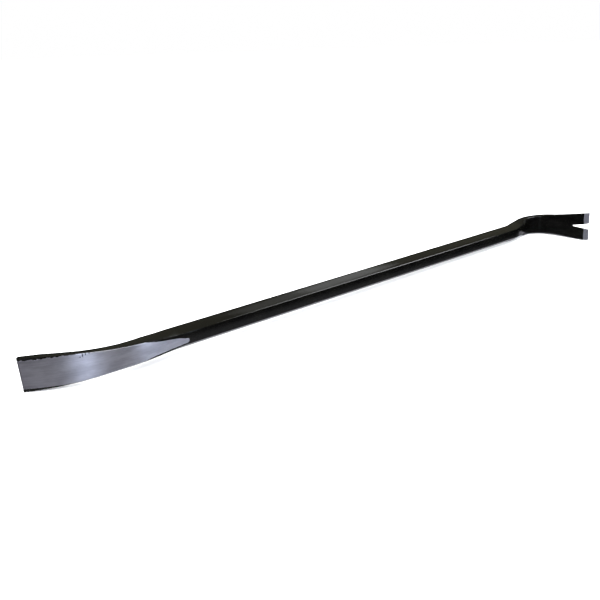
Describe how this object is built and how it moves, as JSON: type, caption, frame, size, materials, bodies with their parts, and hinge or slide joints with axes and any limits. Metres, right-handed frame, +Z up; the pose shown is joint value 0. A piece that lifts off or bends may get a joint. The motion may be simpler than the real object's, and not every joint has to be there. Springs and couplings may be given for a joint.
{
  "type": "pry bar",
  "caption": "Forged hexagonal pry bar with a wide, back-curved chisel blade with a ground face at one end and a short hooked claw with a V slot for nails at the other.",
  "frame": {"origin": "middle of the bounding box's footprint, on the surface the bar lies on", "axes": "+X along the shaft from the chisel to the claw, -Y the way the claw and the chisel's ground face point, +Z up; the bar lies on its side on one blade corner, the lower tine and the side of the neck"},
  "size_m": [0.752, 0.0996, 0.0393],
  "materials": {
    "black_enamel": "glossy black enamel over forged steel",
    "ground_steel": "bare steel, linished along the bar, satin"
  },
  "bodies": {
    "root": {"shaft": "black_enamel", "chisel_shank": "black_enamel", "chisel_blade": "ground_steel", "claw_neck": "black_enamel", "claw_heel": "black_enamel", "claw_web": "black_enamel", "claw_tine_upper": "black_enamel", "claw_tine_lower": "black_enamel"}
  },
  "joints": []
}
